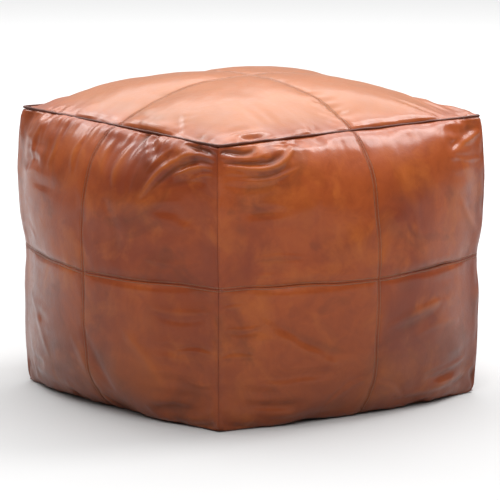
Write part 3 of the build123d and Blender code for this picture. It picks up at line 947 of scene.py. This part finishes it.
def brass_material():
    material, shader = principled("aged_brass", (0.62, 0.44, 0.20), 0.32, Metallic=1.0)
    n = Nodes(material)
    place = n.add("ShaderNodeTexCoord").outputs["Object"]
    tarnish = n.noise(place, 240.0, 6, 0.7, 0.6)
    colour = n.mix(n.ramp(tarnish, (0.4, 0.0), (0.7, 1.0)), (0.62, 0.44, 0.20), (0.26, 0.17, 0.08))
    n.tree.links.new(colour, shader.inputs["Base Color"])
    n.tree.links.new(n.ramp(tarnish, (0.35, 0.24), (0.75, 0.5)), shader.inputs["Roughness"])
    bump = n.add("ShaderNodeBump", {"Height": n.noise(place, 1400.0, 3)}, Strength=0.15, Distance=0.0002)
    n.tree.links.new(bump.outputs["Normal"], shader.inputs["Normal"])
    return material


def finish_node(node, material):
    """Gives a CAD node that is shown as it is a better material."""
    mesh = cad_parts[node].data
    mesh.materials.clear()
    mesh.materials.append(material)


# ---- Stage, light and camera ----


FLOOR_HALF = 6.0    # metres; the floor is paler far from the pouf


def stage():
    floor_material, shader = principled("pale_floor", (0.5, 0.5, 0.5), 0.8)
    n = Nodes(floor_material)
    place = n.add("ShaderNodeTexCoord").outputs["Object"]
    distance = n.add("ShaderNodeVectorMath", {"Vector": place}, operation="LENGTH").outputs["Value"]
    far = n.maths("DIVIDE", distance, FLOOR_HALF)
    n.tree.links.new(n.ramp(far, (0.22, 0.46), (0.6, 0.85)), shader.inputs["Base Color"])
    bpy.ops.mesh.primitive_plane_add(size=2 * FLOOR_HALF, location=(0, 0, -0.0005))
    floor = bpy.context.active_object
    floor.name = "floor"
    floor.data.materials.append(floor_material)
    world = bpy.data.worlds.new("studio")
    bpy.context.scene.world = world
    world.use_nodes = True
    sky = Nodes(world)
    toward = sky.add("ShaderNodeTexCoord").outputs["Generated"]
    height = sky.add("ShaderNodeSeparateXYZ", {"Vector": toward}).outputs["Z"]
    behind = sky.add("ShaderNodeVectorMath", {"Vector": toward}, operation="DOT_PRODUCT")
    behind.inputs[1].default_value = (0.6, 0.8, 0.0)
    overhead = sky.ramp(height, (0.0, 0.2), (0.3, 0.28), (0.85, 1.0))
    backdrop = sky.ramp(behind.outputs["Value"], (0.4, 0.0), (0.85, 0.2))
    glow = sky.mix(1.0, overhead, backdrop, "ADD")
    background = world.node_tree.nodes["Background"]
    world.node_tree.links.new(glow, background.inputs["Color"])
    background.inputs["Strength"].default_value = 1.0
    bpy.context.scene.view_settings.view_transform = "Standard"


def area_light(name, place, aim, size, power):
    light = bpy.data.lights.new(name, "AREA")
    light.shape = "RECTANGLE"
    light.size, light.size_y = size
    light.energy = power
    lamp = bpy.data.objects.new(name, light)
    lamp.location = place
    lamp.rotation_euler = (Vector(aim) - Vector(place)).to_track_quat("-Z", "Y").to_euler()
    bpy.context.scene.collection.objects.link(lamp)


def camera():
    azimuth, elevation, distance = math.radians(-37.4), math.radians(10.0), 6.42
    back = Vector(
        (
            math.sin(azimuth) * math.cos(elevation),
            -math.cos(azimuth) * math.cos(elevation),
            math.sin(elevation),
        )
    )
    aim = Vector((0, 0, 0.18))
    data = bpy.data.cameras.new("camera")
    data.lens = 356
    data.sensor_width = 36
    lens = bpy.data.objects.new("camera", data)
    lens.location = aim + back * distance
    lens.rotation_euler = (-back).to_track_quat("-Z", "Y").to_euler()
    bpy.context.scene.collection.objects.link(lens)
    bpy.context.scene.camera = lens


# ---- Build ----

ring, top, base, total = cover_grid()
faces = cover_faces(ring, top, base)
points = simulate(ring, top, base, total)
normals = vertex_normals(points, faces)

leather = leather_material("waxed_leather", COGNAC, OCHRE, RED_BROWN, DARK_BROWN, 0.36, 0.36)
# The welt's dark leather: partly its own colour, partly painted shade of the deep top seam.
dark_leather = leather_material("dark_leather", RED_BROWN, COGNAC, DARK_BROWN, WELT_SHADE, 0.45, 0.08)
cotton = woven_material("liner_cotton", (0.74, 0.69, 0.57), (0.52, 0.46, 0.35), 900, 0.9, 0.0003)
tape = woven_material("zip_tape", (0.10, 0.045, 0.022), (0.03, 0.014, 0.008), 1600, 0.8, 0.0002)
thread = thread_material()
brass = brass_material()

sides = side_panels(ring, points, normals)
tops = top_panels(top, points, normals)
bases = base_panels()
for panel in sides + tops + bases:
    panel.build(leather)
for side in SIDES:
    stitching(f"stitching_{side}", [panel for panel in sides if panel.node.startswith(side)], thread)
stitching("stitching_top", tops, thread)
stitching("stitching_base", bases, thread)
welt(ring, points, dark_leather)

outer_liner = drawn_in(points, normals, LINER_DEPTH)
inner_liner = drawn_in(points, normals, LINER_DEPTH + LINER)
liner_nodes = ["liner_top", "liner_wall", "liner_base"]
inner_piece("liner_bag", [outer_liner, inner_liner], faces, liner_nodes, cotton)
core = drawn_in(points, normals, STUFFING_DEPTH)
inner_piece("stuffing_fill", [core], faces, ["stuffing"], fibre_material())

for node in ("zip_tape_front", "zip_tape_back"):
    finish_node(node, tape)
for part in ("teeth_front", "teeth_back", "top_stops", "bottom_stop", "slider", "pull_tab"):
    finish_node("zip_" + part, brass)

stage()
area_light("overhead", (0.8, 0.9, 2.6), (0, 0, 0.3), (3.4, 3.4), 100)
area_light("right_card", (1.9, -0.4, 2.5), (0, 0, 0.3), (1.0, 1.4), 50)
area_light("back_card", (-0.4, 2.7, 2.3), (0, 0, 0.3), (1.3, 0.9), 24)
area_light("fill", (-1.5, -2.0, 2.5), (0, 0, 0.2), (1.8, 1.5), 60)
camera()
